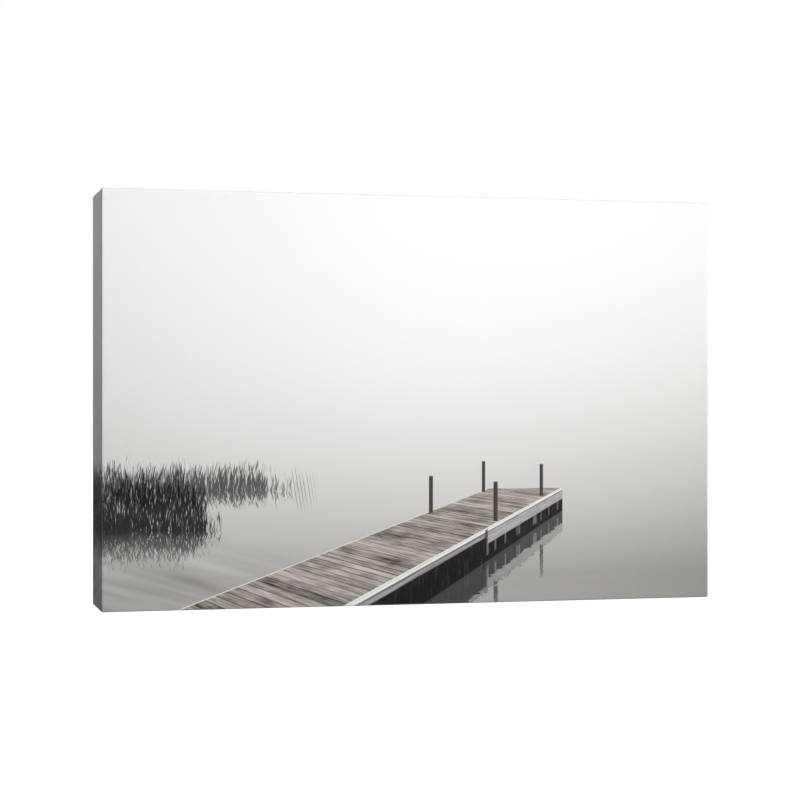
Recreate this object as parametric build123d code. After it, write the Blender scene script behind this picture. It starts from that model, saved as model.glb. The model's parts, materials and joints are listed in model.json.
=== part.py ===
from build123d import *
from math import sqrt
import os

# A gallery-wrapped canvas print: a printed canvas stretched round a deep wooden stretcher.
# The stretcher is four mitred bars with slotted corners, opened by tapered keys that slide in
# from the inside. The canvas is stapled to the back, where a sawtooth hanger and two wall pads
# are fixed.
# X runs along the width, Y from front to back and Z up. The origin is the middle of the base.
# All sizes are in millimetres.

# Overall sizes, canvas included
print_width = 305.0
print_height = 199.0

# Canvas
canvas_thickness = 0.5
arris_clearance = 0.2           # how much tighter the canvas turns than the arris under it

# Stretcher bars
bar_depth = 38.1                # front to back
bar_width = 30.0                # outer edge to inner edge
bar_edge_radius = 0.5           # outer arrises, under the canvas
bar_inner_radius = 2.0          # back arris of the inner edge
lip_width = 5.0                 # raised lip that carries the canvas
bevel_drop = 4.0                # fall of the front face from the lip to the inner edge
mitre_gap = 0.1

# Corner joint: each bar has a tongue in one layer and a slot in the other
long_bar_layer = 13.0           # tongue of the top and bottom bars, from the back face
short_bar_layer = 21.0          # tongue of the side bars, from the back face
tongue_thickness = 4.0
tongue_setback = 3.0            # from the tongue's tip to the outer face
tongue_root = 4.0               # overlap of the tongue with its own bar
slot_clearance = 0.1            # on each face of a tongue
slot_end_clearance = 0.3        # past a tongue's tip

# Keys
key_tip_width = 5.0
key_taper = 0.18                # growth in width for each millimetre of length
key_standout = 15.0             # head of a key beyond the bar's inner edge
key_tip_gap = 2.5               # from the bottom of the slot to the tip of a key
key_clearance = 0.12            # beside a seated key
key_face_clearance = 0.3        # in front of and behind a key
key_head_radius = 2.5
key_tip_radius = 1.0

# Staples
staple_crown = 10.0
staple_wire = 1.2
staple_thickness = 0.6
staple_leg = 8.0
staple_pitch = 45.0             # wanted distance between staples
staple_flap_margin = 6.0        # from a staple's middle to the cut edge of the canvas
staple_end_margin = 36.0        # from the end of a bar to its first staple
corner_staple_inset = 9.0       # of the slanting staple on each corner fold

# Sawtooth hanger and its nails
hanger_length = 45.0
hanger_height = 9.0
hanger_sheet = 0.8
hanger_tab = 8.5                # flat part at each end
hanger_ramp = 2.5
hanger_lift = 2.2               # room behind the teeth for a nail head
hanger_margin = 0.5             # bare wood above and below the hanger
tooth_pitch = 2.0
tooth_depth = 1.4
tooth_count = 11
nail_radius = 0.8
nail_hole_radius = 1.0
nail_length = 11.0
nail_head_radius = 1.8
nail_head_height = 0.9
nail_head_rounding = 0.6

# Wall pads
pad_radius = 4.5
pad_height = 3.2
pad_rounding = 0.9
pad_side_inset = 22.0           # pad centre from the side of the print
pad_base_inset = 8.0            # pad centre above the base

# Sizes that follow from the others
canvas_inside_radius = bar_edge_radius - arris_clearance
canvas_edge_radius = canvas_inside_radius + canvas_thickness
flap_width = bar_width - bar_inner_radius - hanger_height - 2 * hanger_margin
staple_inset = flap_width - staple_flap_margin
key_thickness = tongue_thickness + 2 * slot_clearance - 2 * key_face_clearance

# Places that follow from the sizes
frame_width = print_width - 2 * canvas_thickness
frame_height = print_height - 2 * canvas_thickness
total_depth = bar_depth + 2 * canvas_thickness + pad_height
canvas_front = -total_depth / 2
bar_front = canvas_front + canvas_thickness
bar_back = bar_front + bar_depth
flap_back = bar_back + canvas_thickness
mid_height = print_height / 2
slot_floor = tongue_setback - slot_end_clearance
key_tip = slot_floor + key_tip_gap
key_head = bar_width + key_standout


def plan_prism(points, near, far):
    """A prism between depths near and far, on an outline of (along, across) points."""
    plane = Plane(origin=(0, far, 0), x_dir=(1, 0, 0), z_dir=(0, -1, 0))
    return extrude(plane * make_face(Polyline(*points, close=True)), far - near)


def at_far_end(shape, length):
    """The mirror image of a shape, at the other end of a bar of this length."""
    return mirror(shape, about=Plane.YZ.offset(length / 2))


def to_bottom(shape):
    return Pos(-frame_width / 2, 0, canvas_thickness) * shape


def to_top(shape):
    return mirror(to_bottom(shape), about=Plane.XY.offset(mid_height))


def to_right(shape):
    return Pos(frame_width / 2, 0, canvas_thickness) * Rot(0, -90, 0) * shape


def to_left(shape):
    return mirror(to_right(shape), about=Plane.YZ)


def layer_span(from_back, thickness):
    """The nearest and furthest depth of a layer centred this far from the back face."""
    centre = bar_back - from_back
    return centre - thickness / 2, centre + thickness / 2


def key_width(across):
    """The width of a key at this distance from the bar's outer edge."""
    return key_tip_width + (across - key_tip) * key_taper


def rounded_block(width, depth, height, centre_depth, radius):
    """A block with every edge rounded, centred on the print."""
    block = Pos(0, centre_depth, mid_height) * Box(width, depth, height)
    return fillet(block.edges(), radius)


def moulding(length):
    """A plain length of stretcher moulding, with its outer edge on Z = 0 and its inner edge up."""
    outline = Polyline(
        (bar_front, 0),
        (bar_back, 0),
        (bar_back, bar_width),
        (bar_front + bevel_drop, bar_width),
        (bar_front, lip_width),
        close=True,
    )
    section = make_face(outline)
    inner_back = section.vertices().sort_by(Axis.X)[-2:].sort_by(Axis.Y)[-1]
    return extrude(Plane.YZ * fillet(inner_back, bar_inner_radius), length)


def mitre_waste():
    """What the mitre saw takes off the near end of a bar."""
    shift = mitre_gap / sqrt(2)
    beyond = bar_width + 1
    points = [(shift - 1, -1), (shift + beyond, beyond), (shift - 1, beyond)]
    return plan_prism(points, bar_front - 1, bar_back + 1)


def tongue(from_back):
    """The tongue that a bar pushes into its neighbour, at its near end."""
    inset = tongue_setback
    points = [
        (inset, inset),
        (inset, bar_width),
        (bar_width + tongue_root, bar_width),
        (inset + tongue_root, inset),
    ]
    return plan_prism(points, *layer_span(from_back, tongue_thickness))


def slot_waste(from_back):
    """The slot at a bar's near end, for the neighbour's tongue and the key beside it."""
    mouth = bar_width + 1
    wall = bar_width + 2 * key_clearance
    points = [
        (slot_floor - 2, slot_floor),
        (wall + key_width(slot_floor), slot_floor),
        (wall + key_width(mouth), mouth),
        (slot_floor - 2, mouth),
    ]
    return plan_prism(points, *layer_span(from_back, tongue_thickness + 2 * slot_clearance))


def stretcher_bar(length, own_layer, other_layer):
    """A bar with a mitre, a tongue and a slot at both ends, before its outer arrises are rounded."""
    bar = moulding(length)
    waste, own_tongue, slot = mitre_waste(), tongue(own_layer), slot_waste(other_layer)
    bar = bar - waste - at_far_end(waste, length)
    bar = bar + own_tongue + at_far_end(own_tongue, length)
    return bar - slot - at_far_end(slot, length)


def corner_key(from_back):
    """The tapered key in the slot at a bar's near end, its straight edge against the tongue."""
    edge = bar_width + key_clearance
    points = [
        (edge, key_tip),
        (edge, key_head),
        (edge + key_width(key_head), key_head),
        (edge + key_width(key_tip), key_tip),
    ]
    key = plan_prism(points, *layer_span(from_back, key_thickness))
    upright = key.edges().filter_by(Axis.Y)
    key = fillet(upright.sort_by(Axis.Z)[-2:], key_head_radius)
    return fillet(key.edges().filter_by(Axis.Y).sort_by(Axis.Z)[:2], key_tip_radius)


def canvas():
    """The canvas as one sheet: front, four sides and the flaps on the back."""
    centre_depth = (bar_front + bar_back) / 2
    outside = rounded_block(
        print_width,
        bar_depth + 2 * canvas_thickness,
        print_height,
        centre_depth,
        canvas_edge_radius,
    )
    inside = rounded_block(
        frame_width, bar_depth, frame_height, centre_depth, canvas_inside_radius
    )
    window = Pos(0, bar_back, mid_height) * Box(
        print_width - 2 * flap_width, bar_depth, print_height - 2 * flap_width
    )
    return outside - inside - window


def staple(x, z, turn=0):
    """A staple driven from behind at (x, z), its crown turned this many degrees about Y."""
    leg_reach = (staple_crown - staple_wire) / 2
    crown = Pos(0, staple_thickness / 2, 0) * Box(staple_crown, staple_thickness, staple_wire)
    legs = [
        Pos(side * leg_reach, -staple_leg / 2, 0) * Box(staple_wire, staple_leg, staple_wire)
        for side in (-1, 1)
    ]
    return Pos(x, flap_back, z) * Rot(0, turn, 0) * (crown + legs[0] + legs[1])


def staple_row(length):
    """Where staples stand along a bar of this length, from its middle."""
    span = length - 2 * staple_end_margin
    gaps = max(1, round(span / staple_pitch))
    return [-span / 2 + span * i / gaps for i in range(gaps + 1)]


def long_side_staples(z, corner_z, lean):
    """The staples along the top or bottom edge, with a slanting one on each corner fold."""
    along = [staple(x, z) for x in staple_row(print_width)]
    corner_x = print_width / 2 - corner_staple_inset
    corners = [staple(side * corner_x, corner_z, side * lean) for side in (-1, 1)]
    return Compound(along + corners)


def short_side_staples(x):
    """The staples up one side."""
    return Compound([staple(x, mid_height + z, 90) for z in staple_row(print_height)])


def sawtooth_hanger(z):
    """A pressed strip with a raised middle and teeth along its lower edge."""
    flat, raised = hanger_length / 2 - hanger_tab, hanger_length / 2 - hanger_tab - hanger_ramp
    wood_side = [
        (-hanger_length / 2, 0),
        (-flat, 0),
        (-raised, hanger_lift),
        (raised, hanger_lift),
        (flat, 0),
        (hanger_length / 2, 0),
    ]
    wall_side = [(x, y + hanger_sheet) for x, y in reversed(wood_side)]
    strip = make_face(Polyline(*wood_side, *wall_side, close=True))
    hanger = Pos(0, bar_back, z - hanger_height / 2) * extrude(strip, hanger_height)
    for i in range(tooth_count):
        x = (i - (tooth_count - 1) / 2) * tooth_pitch
        low = z - hanger_height / 2
        notch = [(x - tooth_pitch / 2, low), (x, low + tooth_depth), (x + tooth_pitch / 2, low)]
        hanger -= plan_prism(notch, bar_back, bar_back + hanger_lift + 2 * hanger_sheet)
    for x in nail_places():
        hanger -= Pos(x, bar_back, z) * Rot(90, 0, 0) * Cylinder(
            nail_hole_radius, 4 * hanger_sheet
        )
    return hanger


def nail_places():
    """How far the two nails of the hanger are from its middle."""
    reach = (hanger_length - hanger_tab) / 2
    return [-reach, reach]


def hanger_nail(x, z):
    """A round-headed nail that holds one tab of the hanger."""
    tab_face = bar_back + hanger_sheet
    shank = Pos(x, tab_face - nail_length / 2, z) * Rot(90, 0, 0) * Cylinder(
        nail_radius, nail_length
    )
    head = Pos(x, tab_face + nail_head_height / 2, z) * Rot(90, 0, 0) * Cylinder(
        nail_head_radius, nail_head_height
    )
    rim = head.edges().sort_by(Axis.Y)[-1]
    return fillet(rim, nail_head_rounding) + shank


def wall_pad(side):
    """A round rubber pad near one lower corner of the back."""
    x = side * (print_width / 2 - pad_side_inset)
    pad = Pos(x, flap_back + pad_height / 2, pad_base_inset) * Rot(90, 0, 0) * Cylinder(
        pad_radius, pad_height
    )
    return fillet(pad.edges().sort_by(Axis.Y)[-1], pad_rounding)


def build():
    """Every node of the print, by name."""
    envelope = rounded_block(
        frame_width, bar_depth, frame_height, (bar_front + bar_back) / 2, bar_edge_radius
    )
    long_bar = stretcher_bar(frame_width, long_bar_layer, short_bar_layer)
    short_bar = stretcher_bar(frame_height, short_bar_layer, long_bar_layer)
    hanger_z = print_height - canvas_thickness - (flap_width + bar_width - bar_inner_radius) / 2
    staple_x = print_width / 2 - staple_inset

    nodes = {
        "canvas": canvas(),
        "bottom_bar": to_bottom(long_bar) & envelope,
        "top_bar": to_top(long_bar) & envelope,
        "left_bar": to_left(short_bar) & envelope,
        "right_bar": to_right(short_bar) & envelope,
        "bottom_staples": long_side_staples(staple_inset, corner_staple_inset, -45),
        "top_staples": long_side_staples(
            print_height - staple_inset, print_height - corner_staple_inset, 45
        ),
        "left_staples": short_side_staples(-staple_x),
        "right_staples": short_side_staples(staple_x),
        "sawtooth_hanger": sawtooth_hanger(hanger_z),
        "hanger_nails": Compound([hanger_nail(x, hanger_z) for x in nail_places()]),
        "left_wall_pad": wall_pad(-1),
        "right_wall_pad": wall_pad(1),
    }

    # A rail key lies in the slot of a top or bottom bar, a side key in that of a side bar.
    rail_key, side_key = corner_key(short_bar_layer), corner_key(long_bar_layer)
    far_rail_key = at_far_end(rail_key, frame_width)
    far_side_key = at_far_end(side_key, frame_height)
    nodes["bottom_left_rail_key"] = to_bottom(rail_key)
    nodes["bottom_right_rail_key"] = to_bottom(far_rail_key)
    nodes["top_left_rail_key"] = to_top(rail_key)
    nodes["top_right_rail_key"] = to_top(far_rail_key)
    nodes["bottom_left_side_key"] = to_left(side_key)
    nodes["bottom_right_side_key"] = to_right(side_key)
    nodes["top_left_side_key"] = to_left(far_side_key)
    nodes["top_right_side_key"] = to_right(far_side_key)
    return nodes


os.makedirs("parts", exist_ok=True)
for name, shape in build().items():
    export_step(shape, f"parts/{name}.step")
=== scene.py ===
"""The looks of a gallery-wrapped canvas print, built round its CAD frame.

X runs along the width, -Y comes out of the printed front and Z is up, all in metres. The canvas,
staples, nails, hanger, keys and pads get detailed pieces of their own. The wooden bars keep their
CAD shape. The picture on the canvas is a plain misty lake, which the material works out at each
point.
"""

import json
import math

import bmesh
import bpy
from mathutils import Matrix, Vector, noise


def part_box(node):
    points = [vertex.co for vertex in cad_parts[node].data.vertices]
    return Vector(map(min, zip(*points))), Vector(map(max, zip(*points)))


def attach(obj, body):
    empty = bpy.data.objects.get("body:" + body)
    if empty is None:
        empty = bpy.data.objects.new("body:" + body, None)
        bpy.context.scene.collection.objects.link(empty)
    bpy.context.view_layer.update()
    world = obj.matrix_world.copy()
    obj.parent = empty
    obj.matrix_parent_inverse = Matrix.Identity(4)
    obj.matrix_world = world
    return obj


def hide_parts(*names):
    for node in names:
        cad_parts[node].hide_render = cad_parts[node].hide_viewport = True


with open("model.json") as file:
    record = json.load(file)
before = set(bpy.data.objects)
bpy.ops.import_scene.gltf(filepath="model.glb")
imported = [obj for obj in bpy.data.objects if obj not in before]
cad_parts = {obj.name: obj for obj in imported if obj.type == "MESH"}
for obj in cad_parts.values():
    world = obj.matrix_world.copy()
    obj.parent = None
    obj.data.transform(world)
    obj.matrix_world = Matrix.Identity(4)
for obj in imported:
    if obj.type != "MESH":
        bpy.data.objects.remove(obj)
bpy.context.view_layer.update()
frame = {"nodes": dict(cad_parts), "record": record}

MM = 0.001
BODY = "print"                          # the body of everything but the keys

# Canvas
CLOTH = 0.45 * MM                       # thickness
TURN = 0.8 * MM                         # outside radius where it turns a corner
PLEAT_EDGE = (0.5 * MM, 0.9 * MM)       # where the folded edge at a corner begins and ends
PLEAT_LIFT = 0.34 * MM                  # on the top face, and twice as much on the back
PLEAT_DIP = 0.2 * MM                    # of the strip outside the folded edge
PLEAT_WIDTH = 11 * MM                   # on the back
CURL = 0.5 * MM                         # lift of the cut edge between two staples
WOBBLE = 0.5 * MM                       # of the hand-cut edge
SAG = 0.22 * MM                         # of the middle of the front, towards the back
PRINTED_ON_BACK = 4 * MM                # how far the ink goes past the back edge
THREAD = 0.60 * MM                      # from one thread to the next
CORNER_TURNS = 4                        # rows or columns in a turned edge
SIDE_ROWS = 20
FLAP_ROWS = 14

# Small pieces
BROAD = 8 * MM * MM                     # faces larger than this are shaded flat
KEY_EDGE = 0.3 * MM                     # rounding of a key's edges
HANGER_EDGE = 0.12 * MM

# Camera
LENS, SENSOR = 92.55, 36                # in millimetres, as Blender counts them
CAMERA_LEFT = 0.1039                    # beyond the left side of the print
CAMERA_AWAY = 0.9672                    # from its front
CAMERA_TURN = 14.393                    # degrees to the right

# Light. Each softbox has a place, a size and a power.
KEY_LIGHT = ((1.30, -2.25, 0.62), 1.3, 76)
BACK_LIGHT = ((-0.25, 2.1, 1.3), 1.2, 46)
OVERHEAD = 0.4                          # strength of the sun above
WHITE_WORLD = 1.0
FILL = 0.15
FLOOR_SIZE = 30
FLOOR_GREY = 0.36
FLOOR_GLOW = 0.93                       # lifts the pale floor to the white of the world


def box(node):
    low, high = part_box(node)
    return Vector(low), Vector(high)


LOW, HIGH = box("canvas")
HALF_WIDTH, HEIGHT = HIGH.x, HIGH.z
FRONT, BACK = LOW.y, HIGH.y
MID_HEIGHT = HEIGHT / 2


def step(value, low, high):
    """0 below low, 1 above high and smooth between."""
    t = min(1.0, max(0.0, (value - low) / (high - low)))
    return t * t * (3 - 2 * t)


# ---------------------------------------------------------------- camera, light and floor


def add_camera():
    """A level view at half the print's height, from left of it and turned to the right."""
    data = bpy.data.cameras.new("camera")
    data.lens, data.sensor_width = LENS, SENSOR
    camera = bpy.data.objects.new("camera", data)
    camera.location = (-HALF_WIDTH - CAMERA_LEFT, FRONT - CAMERA_AWAY, MID_HEIGHT)
    camera.rotation_euler = (math.radians(90), 0, math.radians(-CAMERA_TURN))
    bpy.context.collection.objects.link(camera)
    bpy.context.scene.camera = camera


def add_softbox(name, place, size, power):
    """A square area light that faces the middle of the print."""
    data = bpy.data.lights.new(name, "AREA")
    data.size, data.energy = size, power
    lamp = bpy.data.objects.new(name, data)
    lamp.location = place
    aim = Vector((0, 0, MID_HEIGHT)) - lamp.location
    lamp.rotation_euler = aim.to_track_quat("-Z", "Y").to_euler()
    bpy.context.collection.objects.link(lamp)


def add_overhead(strength):
    """A weak, soft sun straight above."""
    data = bpy.data.lights.new("overhead", "SUN")
    data.energy, data.angle = strength, math.radians(25)
    lamp = bpy.data.objects.new("overhead", data)
    lamp.location = (0, 0, 2)
    bpy.context.collection.objects.link(lamp)


def add_world():
    """White to look at, and a soft fill as a light."""
    world = bpy.data.worlds.new("studio")
    world.use_nodes = True
    tree = world.node_tree
    background = tree.nodes["Background"]
    background.inputs["Color"].default_value = (1, 1, 1, 1)
    seen = tree.nodes.new("ShaderNodeLightPath")
    strength = tree.nodes.new("ShaderNodeMapRange")
    strength.inputs["To Min"].default_value = FILL
    strength.inputs["To Max"].default_value = WHITE_WORLD
    tree.links.new(seen.outputs["Is Camera Ray"], strength.inputs["Value"])
    tree.links.new(strength.outputs["Result"], background.inputs["Strength"])
    bpy.context.scene.world = world


def add_floor():
    """A plain pale floor that runs out to white."""
    bpy.ops.mesh.primitive_grid_add(
        x_subdivisions=4, y_subdivisions=4, size=FLOOR_SIZE, location=(0, 0, 0)
    )
    floor = bpy.context.object
    floor.name = "floor"
    material = bpy.data.materials.new("pale_floor")
    material.use_nodes = True
    tree = material.node_tree
    paint = tree.nodes["Principled BSDF"]
    paint.inputs["Base Color"].default_value = (FLOOR_GREY, FLOOR_GREY, FLOOR_GREY, 1)
    paint.inputs["Roughness"].default_value = 0.9
    paint.inputs["Specular IOR Level"].default_value = 0.0
    paint.inputs["Emission Color"].default_value = (1, 1, 1, 1)
    seen = tree.nodes.new("ShaderNodeLightPath")
    glow = tree.nodes.new("ShaderNodeMapRange")
    glow.inputs["To Max"].default_value = FLOOR_GLOW
    tree.links.new(seen.outputs["Is Camera Ray"], glow.inputs["Value"])
    tree.links.new(glow.outputs["Result"], paint.inputs["Emission Strength"])
    floor.data.materials.append(material)


# ---------------------------------------------------------------- shaders written as formulas


class Number:
    """A number that a shader works out at each point. Sums of these make Math nodes."""

    def __init__(self, paint, socket):
        self.paint, self.socket = paint, socket

    def __add__(self, other):
        return self.paint.maths("ADD", self, other)

    def __sub__(self, other):
        return self.paint.maths("SUBTRACT", self, other)

    def __rsub__(self, other):
        return self.paint.maths("SUBTRACT", other, self)

    def __mul__(self, other):
        return self.paint.maths("MULTIPLY", self, other)

    def __truediv__(self, other):
        return self.paint.maths("DIVIDE", self, other)

    def __rtruediv__(self, other):
        return self.paint.maths("DIVIDE", other, self)

    def __neg__(self):
        return self * -1.0

    def __abs__(self):
        return self.paint.maths("ABSOLUTE", self)

    def __pow__(self, other):
        return self.paint.maths("POWER", self, other)

    __radd__, __rmul__ = __add__, __mul__

    def floor(self):
        return self.paint.maths("FLOOR", self)

    def fraction(self):
        return self.paint.maths("FRACT", self)

    def root(self):
        return self.paint.maths("SQRT", self)

    def sine(self):
        return self.paint.maths("SINE", self)

    def at_least(self, other):
        return self.paint.maths("MAXIMUM", self, other)

    def at_most(self, other):
        return self.paint.maths("MINIMUM", self, other)

    def above(self, level, soft):
        """1 above a level and 0 below it, over a soft edge of this width."""
        return ((self - level) / soft + 0.5).clamped()

    def below(self, level, soft):
        return ((level - self) / soft + 0.5).clamped()

    def clamped(self):
        kept = self.paint.maths("ADD", self, 0.0)
        kept.socket.node.use_clamp = True
        return kept

    def towards(self, other, share):
        """This number, moved towards another by a share."""
        return self + (other - self) * share


class Paint:
    """A material with one Principled shader, and short names for the nodes that feed it."""

    def __init__(self, name, roughness, **uniform):
        self.material = bpy.data.materials.new(name)
        self.material.use_nodes = True
        self.tree = self.material.node_tree
        self.shader = self.tree.nodes["Principled BSDF"]
        self.shader.inputs["Roughness"].default_value = roughness
        for socket, value in uniform.items():
            self.shader.inputs[socket.replace("_", " ")].default_value = value

    def node(self, kind, settings=None, **inputs):
        made = self.tree.nodes.new(kind)
        for name, value in (settings or {}).items():
            setattr(made, name, value)
        for name, value in inputs.items():
            self.feed(made.inputs[name], value)
        return made

    def feed(self, socket, value):
        if isinstance(value, Number):
            value = value.socket
        if isinstance(value, bpy.types.NodeSocket):
            self.tree.links.new(value, socket)
        else:
            socket.default_value = value

    def maths(self, operation, *values):
        made = self.node("ShaderNodeMath", {"operation": operation})
        for socket, value in zip(made.inputs, values):
            self.feed(socket, value)
        return Number(self, made.outputs[0])

    def vector(self, x, y, z=0.0):
        return self.node("ShaderNodeCombineXYZ", X=x, Y=y, Z=z).outputs[0]

    def split(self, vector):
        made = self.node("ShaderNodeSeparateXYZ", Vector=vector)
        return [Number(self, socket) for socket in made.outputs]

    def place(self):
        """The point's own X, Y and Z."""
        return self.split(self.node("ShaderNodeTexCoord").outputs["Object"])

    def layout(self, name):
        """The two coordinates of a UV map."""
        return self.split(self.node("ShaderNodeUVMap", {"uv_map": name}).outputs[0])[:2]

    def noise(self, x, y, z, detail=2.0):
        """Smooth noise about 0.5."""
        where = self.vector(x, y, z)
        made = self.node("ShaderNodeTexNoise", Vector=where, Scale=1.0, Detail=detail)
        return Number(self, made.outputs[0])

    def chance(self, cell, seed):
        """A random number from 0 to 1 for each whole number."""
        made = self.node("ShaderNodeTexWhiteNoise", Vector=self.vector(cell, float(seed)))
        return Number(self, made.outputs["Value"])

    def blend(self, share, first, second):
        """A colour between two others. Each is a tuple or a socket."""
        made = self.node("ShaderNodeMix", {"data_type": "RGBA"})
        self.feed(made.inputs["Factor"], share)
        for index, colour in ((6, first), (7, second)):
            self.feed(made.inputs[index], (*colour, 1) if isinstance(colour, tuple) else colour)
        return made.outputs[2]

    def shade(self, tone, tint):
        """A colour from one tone and the tint of each channel."""
        channels = {name: tone * share for name, share in zip(("Red", "Green", "Blue"), tint)}
        return self.node("ShaderNodeCombineColor", **channels).outputs[0]

    def finish(self, colour, height, depth, roughness=None):
        """Sets the colour, the relief and, where it varies, the roughness."""
        self.feed(self.shader.inputs["Base Color"], colour)
        if roughness is not None:
            self.feed(self.shader.inputs["Roughness"], roughness)
        bump = self.node("ShaderNodeBump", Height=height, Strength=1.0, Distance=depth)
        self.feed(self.shader.inputs["Normal"], bump.outputs[0])
        return self.material


# ---------------------------------------------------------------- the picture on the canvas

# The picture is a view over a lake. Its own places are in heights of the print: across from the
# middle and up from the bottom. Sizes in the view are in metres. Tones run from 0, black, to 1.
SIDE_ACROSS = 0.766                     # from the middle to either side
HORIZON = 0.53
EYE = 1.41                              # height of the eye over the water
ZOOM = 1.2                              # heights of the print for a metre seen from a metre away
DECK = 0.26                             # height of the jetty over the water
DECK_SLOPE = 0.72                       # how far it goes right for each metre away
DECK_EDGES = (-3.154, -2.254)           # where its edges would pass beside the viewer
DECK_END = 5.55                         # distance of its far end
DECK_JOINT = 3.95                       # where its far section meets the near one
PLANK = 0.066
POSTS = ((0.14, 4.5), (0.71, 4.2), (0.77, 5.38), (1.38, 5.15))     # sideways and away
POST_TOP = 0.60
POST_RADIUS = 0.019
REED_BEDS = (       # waterline, reach of the reeds, right end and its softness, how thin, how dark
    (0.188, 0.132, -0.50, 0.08, 0.477, 0.965),
    (0.282, 0.062, -0.325, 0.13, 0.500, 0.86),
)
KERB_TONE = 0.80                        # of the pale kerbs and the rail under them
REED_TONE = 0.004
INK = 0.93                              # the lightest tone that is printed
MIST = 0.005                            # how fast things fade with distance


def fog(distance):
    """How much of a thing the mist hides."""
    return 1.0 - distance.paint.maths("EXPONENT", distance * -MIST)


def either(first, second):
    """The cover of two things that lie over each other."""
    return 1.0 - (1.0 - first) * (1.0 - second)


def lake_and_sky(paint, across, up):
    """Pale mist above, and water that darkens towards the viewer."""
    low = (1.0 - up).at_least(0.0)
    tone = 1.0 - (low.at_most(0.93) ** 2.3) * 0.72
    left = ((-across).at_least(0.0) / SIDE_ACROSS) ** 1.6
    right = (across.at_least(0.0) / SIDE_ACROSS) ** 1.6
    left = left * (0.14 - (up ** 4.0) * 0.06 - (low ** 4.0) * 0.15)
    right = right * ((low.at_most(0.85) ** 1.6) * 0.22 + 0.10)
    tone = tone * (1.0 - left - right)
    cloud = paint.noise(across * 1.3, up * 3.0, 4.0, detail=3.0) - 0.5
    tone = tone * (1.0 + cloud * 0.05)
    swell = paint.noise(across * 2.6, (up + across * 0.3) * 34.0, 1.0, detail=1.0) - 0.5
    swell = swell * up.below(0.12, 0.12) * across.below(-0.38, 0.3)
    streak = paint.noise(across * 3.0, up * 80.0, 6.0, detail=3.0) - 0.5
    return tone * (1.0 + swell * 1.1 + streak * up.below(0.25, 0.35) * 0.07)


def reed_bed(paint, across, up, waterline, reach, right, soft, thin, dark):
    """How much one bed of reeds covers a point, with its mirror image below the waterline. Four
    layers of stems, each with a lean and a pitch, lie over each other."""
    seed = waterline * 50.0
    over = up - waterline + (paint.noise(across * 14.0, seed, 2.0) - 0.5) * 0.03
    sunk = over.below(0.0, 0.012)
    shake = (paint.noise(across * 16.0, up * 110.0, seed) - 0.5) * sunk * 0.010
    height = abs(over) * (1.0 + sunk * 0.5)
    edge = (paint.noise(across * 60.0, up * 5.0, seed + 1.0, detail=3.0) - 0.5) * 0.10
    inside = (across + edge + height * 0.2).below(right, soft)
    clump = paint.noise(across * 45.0, seed, 1.0, detail=3.0)
    rise = height / (clump * 0.5 + 0.78) / reach
    total = None
    for lean, pitch in ((-0.26, 250.0), (0.14, 310.0), (-0.12, 380.0), (0.04, 460.0)):
        column = (across + shake + height * lean) * pitch
        stems = paint.noise(column, height * 26.0 + pitch, seed + lean * 9.0, detail=1.0)
        level = thin + rise * rise * 0.21 + sunk * height * 0.5 + (1.0 - inside) * 0.3
        cover = ((stems - level) / 0.17 + 0.5).clamped()
        total = cover if total is None else either(total, cover)
    total = total * (1.0 - sunk * height * 3.2).clamped() * (inside * 4.0).at_most(1.0)
    return total * dark


def reeds(paint, across, up):
    """The near bed and the far one, and the odd stem standing beyond them."""
    near, far = [reed_bed(paint, across, up, *bed) for bed in REED_BEDS]
    column = (across + (up - REED_BEDS[1][0]) * 0.16) / 0.0085
    cell = column.floor()
    luck, size = paint.chance(cell, 3), paint.chance(cell, 4)
    height = abs(up - REED_BEDS[1][0] - 0.004)
    off = abs(column - cell - 0.3 - luck * 0.4)
    stem = off.below(0.10, 0.10) * height.below(size * 0.045 + 0.012, 0.03) * luck.below(0.8, 0.01)
    stem = stem * across.above(-0.36, 0.05) * across.below(-0.255, 0.03)
    return either(either(near, far), stem * 0.55)


def deck_top(paint, across, up, tone, mist):
    """The planks, seen on the plane of the deck, between two pale kerbs. Returns the new tone, and
    how much bare wood covers a point."""
    distance = (EYE - DECK) * ZOOM / (HORIZON - up).at_least(0.03)
    sideways = across * distance / ZOOM
    inside = sideways - distance * DECK_SLOPE
    soft = distance * 0.004
    cover = inside.above(DECK_EDGES[0], soft) * inside.below(DECK_EDGES[1], soft)
    cover = cover * distance.below(DECK_END, 0.03)
    along = (distance + sideways * DECK_SLOPE) / math.hypot(1, DECK_SLOPE) / PLANK
    plank, seam = along.floor(), abs(along.fraction() - 0.5)
    patch = paint.noise(inside * 3.0, along * 0.28, 2.0, detail=4.0) - 0.5
    grain = paint.noise(inside * 5.0, along * 3.1, plank * 1.7, detail=4.0) - 0.5
    wood = paint.chance(plank, 60) * 0.24 + 0.16 + grain * 0.75 + patch * 0.55
    wood = wood + distance.above(3.1, 0.8) * 0.05
    gap = paint.chance(plank, 61) * 0.08 + 0.37
    wood = wood.at_least(0.035) * (1.0 - ((seam - gap) / 0.06).clamped() * 0.70)
    near_kerb = inside.above(DECK_EDGES[1] - 0.024, soft)
    kerb = either(near_kerb, inside.below(DECK_EDGES[0] + 0.014, soft))
    scuffs = (paint.noise(distance * 9.0, inside * 40.0, 3.0, detail=3.0) - 0.5) * 0.3
    wood = wood.towards(KERB_TONE + scuffs, kerb).at_least(0.02)
    return tone.towards(wood.towards(mist, fog(distance)), cover), cover * (1.0 - kerb)


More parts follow.
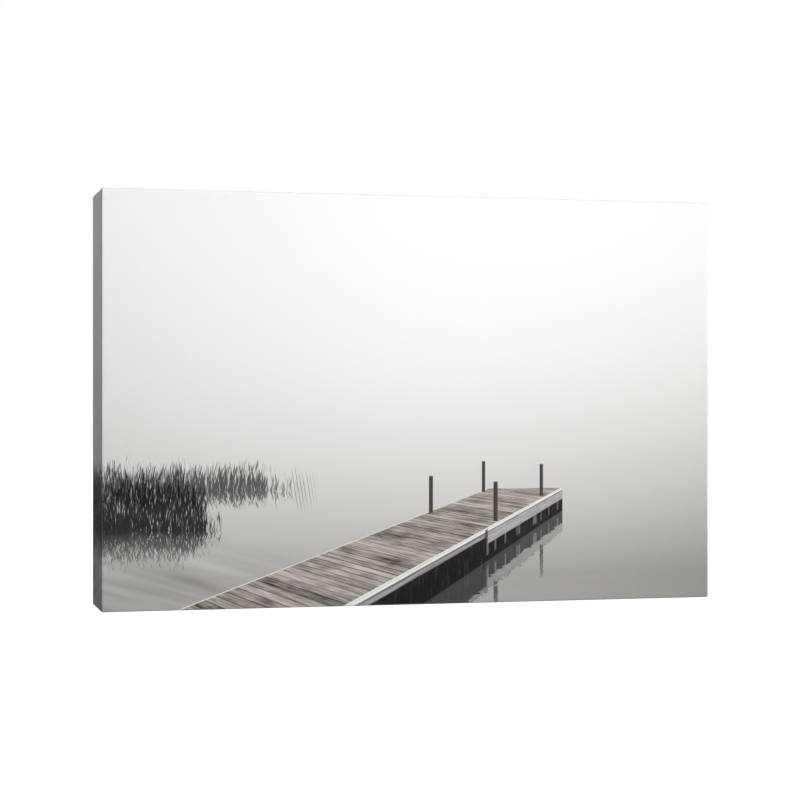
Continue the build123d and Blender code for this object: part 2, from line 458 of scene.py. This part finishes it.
def deck_side(paint, across, up, tone, mist):
    """The jetty's edge board, the dark under it and the mirror image of both in the water."""
    distance = -DECK_EDGES[1] / (DECK_SLOPE - across / ZOOM).at_least(0.05)
    height = EYE - (HORIZON - up) * distance / ZOOM
    wave = paint.noise(across * 45.0, up * 150.0, 7.0, detail=3.0) - 0.5
    sunk = height.below(0.0, 0.012)
    level = abs(height + wave * sunk * 0.11)
    along = distance.above(1.5, 0.01) * distance.below(DECK_END, 0.02)
    hidden = fog(distance)
    far_part = distance.above(DECK_JOINT, 0.01)
    lip = DECK - 0.06 - far_part * 0.06
    board = level.above(0.0, 0.012) * (level - lip).above(0.0, 0.012) * level.below(DECK, 0.01)
    dark = (level - lip).below(0.006, 0.012)
    rail = level.above(DECK - 0.020, 0.006) * board
    groove = level.above(DECK - 0.030, 0.006) * (1.0 - rail)
    block = paint.noise(distance * 9.0, 4.0, 3.0).above(0.56, 0.02)
    block = block * level.above(0.05, 0.02) * far_part
    glint = paint.noise(distance * 30.0, level * 8.0, 3.0).above(0.6, 0.2)
    inside = 0.003 + block * 0.12 + glint * 0.015
    tone = tone.towards(inside.towards(mist, hidden), dark * along * (1.0 - sunk * 0.12))
    grain = paint.noise(distance * 4.0, level * 45.0, 5.0, detail=4.0) - 0.5
    joint = abs(distance - DECK_JOINT).below(0.02, 0.015)
    plank = (0.30 + far_part * 0.08 + grain * 0.5) * (1.0 - groove * 0.6)
    plank = plank.towards(KERB_TONE + grain * 0.3, rail) * (1.0 - joint * 0.8)
    shown = 1.0 - sunk * 0.45
    return tone.towards((plank * (1.0 - sunk * 0.5)).towards(mist, hidden), board * along * shown)


def post(paint, across, up, tone, mist, sideways, distance, sunk):
    """A round steel post: the part over the deck, or its rippled mirror image in the water."""
    scale = ZOOM / distance
    waterline, half = HORIZON - EYE * scale, POST_RADIUS * scale
    rise = (waterline - up if sunk else up - waterline) / scale
    off = (across - sideways * scale) / half
    if sunk:
        wave = paint.noise(across * 10.0, up * 170.0, distance, detail=3.0) - 0.5
        off = off + wave * (rise * 3.2)
    cover = abs(off).below(1.0, 0.25) * rise.above(DECK, 0.01) * rise.below(POST_TOP, 0.01)
    if sunk:
        cover = cover * (1.0 - (rise - DECK).at_least(0.0) * 1.9).at_least(0.0)
    body = 0.026 + (off * 0.5 + 0.5).clamped() * 0.035
    return tone.towards(body.towards(mist, 1.0 - math.exp(-MIST * distance)), cover)


def picture(paint):
    """The whole picture: the planks warmest, and the rest warmer where it is dark."""
    across, up = paint.layout("picture")
    across, up = across / HEIGHT, up / HEIGHT
    mist = lake_and_sky(paint, across, up)
    tone = mist.towards(REED_TONE, reeds(paint, across, up))
    for place in POSTS:
        tone = post(paint, across, up, tone, mist, *place, sunk=True)
    tone = deck_side(paint, across, up, tone, mist)
    tone, planks = deck_top(paint, across, up, tone, mist)
    for place in POSTS:
        tone = post(paint, across, up, tone, mist, *place, sunk=False)
    tone = tone.clamped() * INK
    warm = paint.shade(tone, (1.05, 1.0, 0.945))
    plain = paint.shade(tone, (1.006, 1.0, 0.985))
    wooden = paint.shade(tone, (1.10, 1.0, 0.90))
    return paint.blend(planks, paint.blend(tone.above(0.5, 0.9), warm, plain), wooden)


# ---------------------------------------------------------------- materials


def weave(paint):
    """The relief of a plain weave, 0 between threads and 1 on top of one."""
    u, v = paint.layout("sheet")
    slub = paint.noise(u * 260.0, v * 40.0, 1.0) - 0.5
    slub_across = paint.noise(u * 40.0, v * 260.0, 5.0) - 0.5
    warp, weft = u / THREAD + slub_across * 0.5, v / THREAD + slub * 0.5
    over = (((warp.floor() + weft.floor()) * 0.5).fraction() * 2.0).below(0.5, 0.01)
    warp_ridge, weft_ridge = abs((warp * math.pi).sine()), abs((weft * math.pi).sine())
    on_warp = warp_ridge.root() * (weft_ridge * 0.4 + 0.6)
    on_weft = weft_ridge.root() * (warp_ridge * 0.4 + 0.6)
    return on_weft.towards(on_warp, over)


def printed_canvas():
    """The picture, with painted shade between the threads and along the front edges, and bare
    cloth beyond it on the back.
    """
    paint = Paint("printed_canvas", 0.72, Specular_IOR_Level=0.1)
    u, v = paint.layout("sheet")
    past = (abs(u) - HALF_WIDTH).at_least(abs(v - MID_HEIGHT) - MID_HEIGHT)
    border = past.above(BACK - FRONT + PRINTED_ON_BACK, 0.2 * MM)
    threads = weave(paint)
    # The bare border is lighter on the threads and darker between them: painted shade in the
    # weave.
    bare = paint.shade(threads * 0.07 + 0.78, (1.0, 0.985, 0.95))
    inked = paint.blend(border, picture(paint), bare)
    # Painted shade between the threads: the colour is multiplied down a little where the weave
    # lies low.
    thread_shaded = paint.node("ShaderNodeMix", {"data_type": "RGBA", "blend_type": "MULTIPLY"})
    thread_shaded.inputs["Factor"].default_value = 1.0
    paint.feed(thread_shaded.inputs[6], inked)
    paint.feed(thread_shaded.inputs[7], paint.shade(threads * 0.02 + 0.98, (1.0, 1.0, 1.0)))
    # Painted shade along the front edges: the print is darkened a little towards grey just inside
    # each edge.
    edge_shade = abs(past + 0.17 * MM).below(0.40 * MM, 0.4 * MM)
    edge_shade = edge_shade * (paint.noise(u * 700.0, v * 700.0, 5.0) * 0.6 + 0.7)
    edge_shaded = paint.blend(edge_shade * 0.12, thread_shaded.outputs[2], (0.60, 0.59, 0.57))
    rough = threads * -0.08 + 0.78
    return paint.finish(edge_shaded, threads, 0.02 * MM, rough)


def raw_canvas():
    """The unprimed inside of the cloth, with darker flecks of seed."""
    paint = Paint("raw_canvas", 0.9, Specular_IOR_Level=0.2, Sheen_Weight=0.12)
    u, v = paint.layout("sheet")
    threads = weave(paint)
    fleck = paint.noise(u * 900.0, v * 900.0, 8.0).above(0.72, 0.05)
    stain = paint.noise(u * 14.0, v * 14.0, 9.0) - 0.5
    # Lighter on the threads and darker between them, which is painted shade in the weave; the
    # stains are real.
    tone = threads * 0.16 + 0.62 + stain * 0.07
    cream = paint.shade(tone, (1.0, 0.93, 0.80))
    return paint.finish(paint.blend(fleck * 0.5, cream, (0.34, 0.25, 0.15)), threads, 0.12 * MM)


def pine(name, grain, seed, knot):
    """Planed pine with its grain along X or Z. knot is a place on the back face, or past the end
    of a bar that has none. Its rings run round it either way."""
    paint = Paint(name, 0.6, Specular_IOR_Level=0.3)
    x, y, z = paint.place()
    along, across = (x, z) if grain == "X" else (z, x)
    knot_along, knot_across = knot if grain == "X" else (knot[1], knot[0])
    bend = paint.noise(along * 130.0, across * 130.0, seed + 5.0) - 0.5
    away = (((along - knot_along) * 0.5) ** 2.0 + (across - knot_across) ** 2.0).root()
    away = away * (1.0 + bend * 0.5)
    pull = paint.maths("EXPONENT", away * -170.0)
    drift = paint.noise(along * 5.0, across * 9.0, seed, detail=1.0) - 0.5
    core = 0.045 + 0.02 * math.sin(seed)
    ring = (across - knot_across + drift * 0.012 + 0.012) ** 2.0 + (y + core) ** 2.0
    ring = ring.root() * 420.0 + pull * 5.0 + drift * 1.5
    band = ring.fraction()
    late = band.above(0.72, 0.4) * band.below(0.97, 0.05)
    fibre = paint.noise(along * 45.0, across * 1900.0, y * 1900.0, detail=3.0) - 0.5
    pore = paint.noise(along * 18.0, across * 700.0, y * 700.0 + seed, detail=1.0).above(0.7, 0.06)
    cloud = paint.noise(along * 6.0, across * 25.0, seed + 3.0) - 0.5
    pale = paint.blend((cloud + 0.5).clamped(), (0.60, 0.42, 0.235), (0.70, 0.52, 0.315))
    wood = paint.blend(late * 0.62, pale, (0.43, 0.25, 0.11))
    wood = paint.blend((fibre * 0.9 + pore * 0.22).clamped(), wood, (0.36, 0.2, 0.09))
    eye = away.below(2.4 * MM, 0.8 * MM)
    heart = (away * 2600.0 + bend * 3.0).sine() * 0.15 + 0.75
    wood = paint.blend(eye * heart, wood, (0.17, 0.075, 0.03))
    rim = abs(away - 2.7 * MM).below(0.25 * MM, 0.3 * MM)
    wood = paint.blend(rim * 0.6, wood, (0.10, 0.05, 0.03))
    rough = fibre * 0.25 + 0.62 - late * 0.08
    return paint.finish(wood, fibre * 0.6 - late * 0.15 - pore * 0.3, 0.09 * MM, rough)


def beech(name, grain):
    """The keys' hardwood: fine grain along X or Z, with its short darker flecks."""
    paint = Paint(name, 0.55, Specular_IOR_Level=0.3)
    x, y, z = paint.place()
    along, across = (x, z) if grain == "X" else (z, x)
    fleck = paint.noise(along * 420.0, y * 2600.0, across * 2600.0, detail=1.0).above(0.66, 0.08)
    fibre = paint.noise(along * 90.0, y * 1500.0, across * 1500.0, detail=3.0)
    cloud = paint.noise(along * 60.0, y * 200.0, across * 60.0, detail=3.0)
    wood = paint.blend(cloud, (0.56, 0.38, 0.23), (0.66, 0.48, 0.31))
    wood = paint.blend((fibre - 0.35).at_least(0.0) * 0.5, wood, (0.42, 0.26, 0.14))
    wood = paint.blend(fleck * 0.35, wood, (0.30, 0.17, 0.09))
    return paint.finish(wood, cloud + fibre * 0.3 - fleck * 0.3, 0.06 * MM, cloud * 0.2 + 0.48)


def plated(name, colour, dull, stretch):
    """Plated steel: rolling lines along X, faint cloudiness and small dull scuffs."""
    paint = Paint(name, 0.35, Metallic=1.0)
    x, y, z = paint.place()
    lines = paint.noise(x * stretch, y * 9000.0, z * 9000.0)
    cloud = paint.noise(x * 300.0, y * 300.0, z * 300.0, detail=3.0)
    scuff = paint.noise(x * 1500.0, y * 1500.0, z * 1500.0, detail=1.0).above(0.66, 0.05)
    metal = paint.blend(cloud.above(0.5, 0.5), colour, dull)
    metal = paint.blend(scuff * 0.4, metal, dull)
    rough = lines * 0.12 + cloud * 0.16 + scuff * 0.14 + 0.2
    return paint.finish(metal, lines * 0.5 + cloud, 0.02 * MM, rough)


def rubber():
    """Black moulded rubber with a fine matt grain and a little dust."""
    paint = Paint("pad_rubber", 0.75, Specular_IOR_Level=0.4)
    x, y, z = paint.place()
    grain = paint.noise(x * 3000.0, y * 3000.0, z * 3000.0)
    dust = paint.noise(x * 500.0, y * 500.0, z * 500.0, detail=4.0).above(0.6, 0.2)
    colour = paint.blend(dust * 0.35, (0.018, 0.018, 0.018), (0.09, 0.088, 0.084))
    return paint.finish(colour, grain, 0.06 * MM, grain * 0.2 + dust * 0.15 + 0.6)


# ---------------------------------------------------------------- mesh helpers


def add_object(name, mesh, *materials):
    made = bpy.data.objects.new(name, mesh)
    bpy.context.collection.objects.link(made)
    for material in materials:
        mesh.materials.append(material)
    return made


def mesh_from(name, work):
    """A mesh from a bmesh, with faces that turn less than 35 degrees shaded as one surface."""
    bmesh.ops.recalc_face_normals(work, faces=work.faces)
    for edge in work.edges:
        edge.smooth = len(edge.link_faces) == 2 and edge.calc_face_angle(0) < math.radians(35)
    for face in work.faces:
        face.smooth = True
    mesh = bpy.data.meshes.new(name)
    work.to_mesh(mesh)
    work.free()
    return mesh


def islands(node):
    """The points of each separate solid of a CAD node."""
    work = bmesh.new()
    work.from_mesh(frame["nodes"][node].data)
    bmesh.ops.remove_doubles(work, verts=work.verts, dist=1e-6)
    found, seen = [], set()
    for start in work.verts:
        if start.index in seen:
            continue
        seen.add(start.index)
        group, queue = [], [start]
        while queue:
            vert = queue.pop()
            group.append(vert.co.copy())
            for edge in vert.link_edges:
                other = edge.other_vert(vert)
                if other.index not in seen:
                    seen.add(other.index)
                    queue.append(other)
        found.append(group)
    work.free()
    return found


def middle_of(points):
    return sum(points, Vector()) / len(points)


def span_of(points):
    """The lowest and highest corners of some points."""
    return (Vector(map(min, zip(*points))), Vector(map(max, zip(*points))))


def crowns(node):
    """Each staple's crown, as its two ends on the canvas."""
    found = []
    for points in islands(node):
        top = span_of(points)[1].y
        crown = [p for p in points if p.y > top - 0.1 * MM]
        middle = middle_of(crown)
        far = max(crown, key=lambda p: (p - middle).length)
        ends = [p for p in crown if (p - far).length < 2 * MM]
        reach = middle_of(ends) - middle
        found.append((middle - reach, middle + reach))
    return found


STAPLES = {node: crowns(node) for node in
           ("top_staples", "bottom_staples", "left_staples", "right_staples")}


# ---------------------------------------------------------------- the canvas

# The cloth is laid out in columns round the print and rows from the front edge to the cut edge.
# Sides are numbered as the columns meet them: 0 bottom, 1 right, 2 top, 3 left.
ALONG = (Vector((1, 0, 0)), Vector((0, 0, 1)), Vector((-1, 0, 0)), Vector((0, 0, -1)))
OUTWARD = (Vector((0, 0, -1)), Vector((1, 0, 0)), Vector((0, 0, 1)), Vector((-1, 0, 0)))
CENTRE = Vector((0, 0, MID_HEIGHT))


def flap_width():
    """How far the cloth comes in on the back, measured on the CAD canvas."""
    back = [v.co for v in frame["nodes"]["canvas"].data.vertices if v.co.y > BACK - 0.1 * MM]
    return max(min(HALF_WIDTH - abs(p.x), p.z, HEIGHT - p.z) for p in back)


FLAP = flap_width()


def half_length(side):
    return (HALF_WIDTH if side % 2 == 0 else MID_HEIGHT) - TURN


def half_across(side):
    return (MID_HEIGHT if side % 2 == 0 else HALF_WIDTH) - TURN


def positions(half):
    """Places along a side from its middle, much closer together at its ends, by the pleats."""
    from_end = [0, 0.25, 0.5, 0.7, 0.9, 1.3, 2.0, 3.0, 4.4] + [6 + 1.6 * i for i in range(26)]
    right = [half - d * MM for d in from_end]
    count = max(2, round(right[-1] / (4 * MM)))
    right += [right[-1] * (1 - i / count) for i in range(1, count)]
    return [-x for x in right] + [0.0] + right[::-1]


class Row:
    """One line of the cloth round the print: its depth, its inset from the outside, the tilt of
    its normal from outward to the back, and its distance from the front along the cloth."""

    def __init__(self, depth, inset, tilt, travel):
        self.depth, self.inset, self.tilt, self.travel = depth, inset, tilt, travel


def rows():
    """Every row, from the edge of the flat front to the cut edge on the back."""
    found, quarter = [], TURN * math.pi / 2
    for i in range(CORNER_TURNS + 1):
        turn = math.pi / 2 * i / CORNER_TURNS
        found.append(Row(FRONT + TURN * (1 - math.cos(turn)), TURN * (1 - math.sin(turn)),
                         turn - math.pi / 2, quarter * i / CORNER_TURNS))
    depth = BACK - FRONT - 2 * TURN
    for i in range(1, SIDE_ROWS + 1):
        down = depth * i / SIDE_ROWS
        found.append(Row(FRONT + TURN + down, 0.0, 0.0, quarter + down))
    travel = quarter + depth
    for i in range(1, CORNER_TURNS + 1):
        turn = math.pi / 2 * i / CORNER_TURNS
        found.append(Row(BACK - TURN * (1 - math.sin(turn)), TURN * (1 - math.cos(turn)), turn,
                         travel + quarter * i / CORNER_TURNS))
    travel += quarter
    run = FLAP - TURN
    for i in range(1, FLAP_ROWS + 1):
        inward = run * i / FLAP_ROWS
        found.append(Row(BACK, TURN + inward, math.pi / 2, travel + inward))
    return found


def pinch(point):
    """How firmly the nearest staple holds a point, close by and more widely. Both are 1 on its
    crown."""
    nearest = 1.0
    for ends in (pair for pairs in STAPLES.values() for pair in pairs):
        line = ends[1] - ends[0]
        t = min(1.0, max(0.0, (point - ends[0]).dot(line) / line.length_squared))
        nearest = min(nearest, (point - ends[0] - line * t).length)
    return math.exp(-((nearest / (1.9 * MM)) ** 2)), math.exp(-((nearest / (11 * MM)) ** 2))


def relief(side, from_end, row, point):
    """How far the outer face stands out at a point, and how far the whole cloth does."""
    outer = whole = 0.0
    folded = step(from_end, *PLEAT_EDGE)
    on_back = step(row.inset, 0.2 * MM, TURN) if row.tilt > 0 else 0.0
    if side % 2 == 0:
        begun = step(row.travel, 1 * MM, 9 * MM)
        reach = min(row.travel, 34 * MM)
        under = 1 - step(from_end, reach - 2.5 * MM, reach + 1.5 * MM)
        lift = PLEAT_LIFT * under if side == 2 else 0.0
        on_side = (lift * folded - PLEAT_DIP * (1 - folded)) * begun
        pleat = 1 - step(from_end, PLEAT_WIDTH * 0.82, PLEAT_WIDTH * 1.12)
        outer = on_side * (1 - on_back) + 2 * PLEAT_LIFT * folded * pleat * on_back
    if on_back:
        tight, loose = pinch(point)
        outer *= 1 - 0.92 * tight
        outer -= 0.1 * MM * tight
        edge = step(row.inset, 10 * MM, FLAP)
        whole = CURL * edge * (1 - loose) * (0.6 + 0.8 * noise.noise(point * 45))
    return outer, max(0.0, whole)


def cloth_point(side, place, turn, row):
    """The place and normal of a column and row. turn is the way round the corner after a side."""
    outward = OUTWARD[side] * math.cos(turn) + ALONG[side] * math.sin(turn)
    beside = CENTRE + ALONG[side] * place + OUTWARD[side] * half_across(side)
    wobble = noise.noise(beside * 60) * WOBBLE
    inset = row.inset + wobble * max(0.0, row.inset - TURN) / FLAP
    past = max(0.0, inset - TURN)
    shrink = (half_length(side) - past) / half_length(side)
    root = CENTRE + ALONG[side] * place * shrink + OUTWARD[side] * (half_across(side) - past)
    point = root + outward * (TURN - min(inset, TURN))
    point.y = row.depth
    normal = outward * math.cos(row.tilt) + Vector((0, 1, 0)) * math.sin(row.tilt)
    return point, normal


def columns():
    """(side, place along it, turn round the corner, distance from the side's nearer end)."""
    found = []
    for side in range(4):
        half = half_length(side)
        found += [(side, place, 0.0, half - abs(place)) for place in positions(half)]
        for i in range(1, CORNER_TURNS):
            found.append((side, half, math.pi / 2 * i / CORNER_TURNS, 0.0))
    return found


def sheet_place(side, point, travel):
    """Where a point of the rim lies on the flat cloth."""
    root = CENTRE + OUTWARD[side] * (half_across(side) + travel)
    along = (point - CENTRE).dot(ALONG[side])
    flat = root + ALONG[side] * along
    return flat.x, flat.z


def mirrored(u, v):
    """The picture runs over each edge and carries on as its mirror image."""
    u = math.copysign(HALF_WIDTH - abs(HALF_WIDTH - abs(u)), u)
    rise = v - MID_HEIGHT
    rise = math.copysign(MID_HEIGHT - abs(MID_HEIGHT - abs(rise)), rise)
    return u, MID_HEIGHT + rise


def slack(x, z):
    """How far the front lies back: a shallow bowl with the faintest waves, flat at its rim."""
    bowl = (1 - (x / half_length(0)) ** 2) * (1 - ((z - MID_HEIGHT) / half_length(1)) ** 2)
    wave = noise.noise(Vector((x * 18, z * 18, 1.7))) * 0.06 * MM
    return SAG * bowl + wave * min(1.0, bowl * 3)


def sheet_size(all_rows):
    """Width and length of the cloth before it is wrapped."""
    beyond = all_rows[-1].travel - TURN
    return 2 * (HALF_WIDTH + beyond), HEIGHT + 2 * beyond


def baked(u, v, material, size):
    """The OFBake layout: the outside fills the width, and the smaller inside lies above it."""
    share, rise = (0.985, 0.006) if material == 0 else (0.33, 0.752)
    across, up = u + size[0] / 2, v - MID_HEIGHT + size[1] / 2
    return 0.006 + share * across / size[0], rise + share * up / size[0]


class Cloth:
    """Collects the faces of the canvas with their layouts and their material."""

    def __init__(self, size):
        self.size = size
        self.work = bmesh.new()
        self.sheet = self.work.loops.layers.uv.new("sheet")
        self.picture = self.work.loops.layers.uv.new("picture")
        self.export = self.work.loops.layers.uv.new("OFBake")

    def face(self, corners, places, material):
        """corners are vertices, and places their (u, v) on the flat cloth."""
        if len(set(corners)) < 3:
            return
        made = self.work.faces.new(corners)
        made.material_index = material
        for loop, (u, v) in zip(made.loops, places):
            loop[self.sheet].uv = (u, v)
            loop[self.picture].uv = mirrored(u, v)
            loop[self.export].uv = baked(u, v, material, self.size)


def add_front(cloth, depth_shift, material):
    """The flat front, or its inside."""
    xs, zs = positions(half_length(0)), positions(half_length(1))
    grid = {}
    for i, x in enumerate(xs):
        for k, rise in enumerate(zs):
            z = MID_HEIGHT + rise
            grid[i, k] = cloth.work.verts.new((x, FRONT + depth_shift + slack(x, z), z))
    for i in range(len(xs) - 1):
        for k in range(len(zs) - 1):
            corners = [(i, k), (i + 1, k), (i + 1, k + 1), (i, k + 1)]
            places = [(xs[a], MID_HEIGHT + zs[b]) for a, b in corners]
            cloth.face([grid[c] for c in corners], places, material)


def add_rim(cloth, all_rows, inside, material):
    """The turned edges, sides and flaps, or their inside. Returns the last row's vertices, with
    their places on the flat cloth and those a cloth's thickness further out."""
    around = columns()
    grid, flat = [], []
    for row in all_rows:
        line, line_flat = [], []
        for side, place, turn, from_end in around:
            point, normal = cloth_point(side, place, turn, row)
            outer, whole = relief(side, from_end, row, point)
            stand = whole - CLOTH if inside else whole + outer
            line.append(cloth.work.verts.new(point + normal * stand))
            line_flat.append((side, point, row.travel))
        grid.append(line)
        flat.append(line_flat)
    count = len(around)
    for r in range(len(grid) - 1):
        for c in range(count):
            corners = [(r, c), (r, (c + 1) % count), (r + 1, (c + 1) % count), (r + 1, c)]
            side = around[c][0]
            places = [sheet_place(side, *flat[a][b][1:]) for a, b in corners]
            cloth.face([grid[a][b] for a, b in corners], places, material)
    last = [sheet_place(*flat[-1][c]) for c in range(count)]
    beyond = [sheet_place(side, point, travel + CLOTH) for side, point, travel in flat[-1]]
    return grid[-1], last, beyond


def add_canvas(printed, raw):
    """The whole canvas: printed outside, raw inside and a cut edge that joins them."""
    all_rows = rows()
    flat = sheet_size(all_rows)
    cloth = Cloth(flat)
    add_front(cloth, 0.0, 0)
    outer, places, beyond = add_rim(cloth, all_rows, False, 0)
    add_front(cloth, CLOTH, 1)
    inner = add_rim(cloth, all_rows, True, 1)[0]
    count = len(outer)
    for c in range(count):
        n = (c + 1) % count
        corners = [outer[c], outer[n], inner[n], inner[c]]
        cloth.face(corners, [beyond[c], beyond[n], places[n], places[c]], 1)
    bmesh.ops.remove_doubles(cloth.work, verts=cloth.work.verts, dist=1e-6)
    canvas = add_object("canvas_wrap", mesh_from("canvas_wrap", cloth.work), printed, raw)
    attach(canvas, BODY)
    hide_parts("canvas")


# ---------------------------------------------------------------- small pieces


def sweep(work, path, section):
    """A closed tube: path is (point, across, up) frames, section is (across, up) offsets."""
    rings = []
    for point, across, up in path:
        rings.append([work.verts.new(point + across * a + up * b) for a, b in section])
    for first, second in zip(rings, rings[1:]):
        for i in range(len(section)):
            j = (i + 1) % len(section)
            work.faces.new((first[i], first[j], second[j], second[i]))
    work.faces.new(rings[0][::-1])
    work.faces.new(rings[-1])


def rounded_section(width, height, power=3.5, count=14):
    """A flattened round wire's section."""
    found = []
    for i in range(count):
        turn = 2 * math.pi * (i + 0.5) / count
        c, s = math.cos(turn), math.sin(turn)
        found.append((math.copysign(abs(c) ** (2 / power), c) * width / 2,
                      math.copysign(abs(s) ** (2 / power), s) * height / 2))
    return found


def staple_wire(work, ends, leg, lean):
    """One staple with rounded shoulders, its legs driven in at a slight lean."""
    flat = (ends[1] - ends[0]).normalized()
    inward, sideways = Vector((0, -1, 0)), flat.cross(Vector((0, 1, 0)))
    radius, half = 0.75 * MM, (ends[1] - ends[0]).length / 2 - 0.3 * MM
    middle = (ends[0] + ends[1]) / 2 + inward * 0.3 * MM
    path = []
    for sign in (-1, 1):
        shoulder = middle + flat * sign * (half - radius) + inward * radius
        leg_way = (inward + sideways * lean).normalized()
        bend = []
        for i in range(6):
            turn = math.pi / 2 * i / 5
            out = flat * sign * math.cos(turn) - inward * math.sin(turn)
            bend.append((shoulder + out * radius, sideways, out))
        foot = (shoulder + flat * sign * radius + leg_way * leg, sideways, flat * sign)
        path += [foot] + bend if sign < 0 else bend[::-1] + [foot]
    sweep(work, path, rounded_section(1.15 * MM, 0.62 * MM))


def add_staples(node, steel):
    work = bmesh.new()
    for i, ends in enumerate(STAPLES[node]):
        staple_wire(work, ends, 6.5 * MM, 0.05 * math.sin(i * 2.1))
    staples = add_object(node + "_wire", mesh_from(node + "_wire", work), steel)
    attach(staples, BODY)
    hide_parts(node)


def lathe(work, outline, centre, steps=48):
    """A closed turned shape about Y. outline is (radius, depth) from end to end of the axis."""
    rings = []
    for radius, depth in outline:
        if radius < 1e-9:
            rings.append([work.verts.new(centre + Vector((0, depth, 0)))] * steps)
            continue
        ring = []
        for i in range(steps):
            turn = 2 * math.pi * i / steps
            out = Vector((math.cos(turn) * radius, depth, math.sin(turn) * radius))
            ring.append(work.verts.new(centre + out))
        rings.append(ring)
    for first, second in zip(rings, rings[1:]):
        for i in range(steps):
            j = (i + 1) % steps
            corners = list(dict.fromkeys((first[i], first[j], second[j], second[i])))
            work.faces.new(corners)


def add_nails(brass):
    """Two round-headed nails with a domed head and a pointed shank."""
    work = bmesh.new()
    for points in islands("hanger_nails"):
        low, high = span_of(points)
        radius, middle = (high.x - low.x) / 2, (low + high) / 2
        centre = Vector((middle.x, high.y, middle.z))
        head, shank, length = 0.9 * MM, 0.8 * MM, high.y - low.y
        outline = []
        for i in range(8):
            turn = math.pi / 2 * i / 7
            outline.append((radius * math.sin(turn), -head * 0.75 * (1 - math.cos(turn))))
        outline += [(radius, -head), (shank, -head), (shank, 2 * MM - length), (0.0, -length)]
        lathe(work, outline, centre)
    nails = add_object("hanger_nail_heads", mesh_from("hanger_nail_heads", work), brass)
    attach(nails, BODY)
    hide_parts("hanger_nails")


def add_pad(node, material):
    """A soft round bumper: rounded shoulders, a dish in its face and a thin moulding step."""
    low, high = box(node)
    radius, depth = (high.x - low.x) / 2, high.y - low.y
    centre = Vector(((low.x + high.x) / 2, low.y, (low.z + high.z) / 2))
    edge, dish = 1.1 * MM, 0.22 * MM
    waist = radius - 0.15 * MM
    outline = [(0.0, 0.0), (radius, 0.0), (radius, 0.5 * MM), (waist, 0.6 * MM)]
    for i in range(1, 9):
        turn = math.pi / 2 * i / 8
        outline.append((waist - edge * (1 - math.cos(turn)), depth - edge * (1 - math.sin(turn))))
    for i in range(1, 7):
        reach = (waist - edge) * (1 - i / 6) if i < 6 else 0.0
        outline.append((reach, depth - dish * math.sin(math.pi / 2 * i / 6) ** 2))
    work = bmesh.new()
    lathe(work, outline, centre)
    pad = add_object(node + "_bumper", mesh_from(node + "_bumper", work), material)
    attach(pad, BODY)
    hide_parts(node)


def softened(node, width, name, material, body):
    """A copy of a CAD node with its sharp edges taken off, which stands for it."""
    work = bmesh.new()
    work.from_mesh(frame["nodes"][node].data)
    bmesh.ops.remove_doubles(work, verts=work.verts, dist=1e-6)
    bmesh.ops.dissolve_limit(
        work, angle_limit=math.radians(1), verts=work.verts, edges=work.edges
    )
    edges = [edge for edge in work.edges if len(edge.link_faces) == 2]
    sharp = [edge for edge in edges if edge.calc_face_angle(0) > math.radians(30)]
    bmesh.ops.bevel(work, geom=sharp, offset=width, segments=3, profile=0.5, affect="EDGES",
                    clamp_overlap=True)
    mesh = mesh_from(name, work)
    for face in mesh.polygons:
        face.use_smooth = face.area < BROAD
    piece = add_object(name, mesh, material)
    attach(piece, body)
    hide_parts(node)


# ---------------------------------------------------------------- the whole print


def paint_bars():
    """The four bars keep their CAD shape, each in pine of its own. Two have a knot."""
    places = {"top_bar": ("X", 1.3, (-0.071, 0.176)), "bottom_bar": ("X", 4.1, (0.52, 0.024)),
              "left_bar": ("Z", 7.7, (-0.128, 0.062)), "right_bar": ("Z", 9.2, (0.127, 0.62))}
    for node, (grain, seed, knot) in places.items():
        bar = frame["nodes"][node]
        material = pine(node + "_pine", grain, seed, knot)
        for slot in bar.material_slots:
            slot.material = material


def add_keys():
    """The eight keys, each with its grain along its slide."""
    level, upright = beech("level_key_beech", "X"), beech("upright_key_beech", "Z")
    for body, nodes in frame["record"]["behaviour"]["bodies"].items():
        if body != BODY:
            wood = upright if "_rail_" in nodes[0] else level
            softened(nodes[0], KEY_EDGE, nodes[0] + "_wedge", wood, body)


def main():
    add_camera()
    add_world()
    add_softbox("key_light", *KEY_LIGHT)
    add_softbox("back_light", *BACK_LIGHT)
    add_overhead(OVERHEAD)
    add_floor()
    add_canvas(printed_canvas(), raw_canvas())
    paint_bars()
    add_keys()
    steel = plated("staple_steel", (0.62, 0.62, 0.61), (0.42, 0.42, 0.42), 900.0)
    brass = plated("brass_plate", (0.70, 0.58, 0.36), (0.45, 0.36, 0.22), 700.0)
    for node in STAPLES:
        add_staples(node, steel)
    softened("sawtooth_hanger", HANGER_EDGE, "hanger_plate", brass, BODY)
    add_nails(brass)
    black = rubber()
    for node in ("left_wall_pad", "right_wall_pad"):
        add_pad(node, black)
    bpy.context.scene.view_settings.view_transform = "Standard"


main()


def corners(bounds):
    return [[float(value) for value in corner] for corner in bounds]
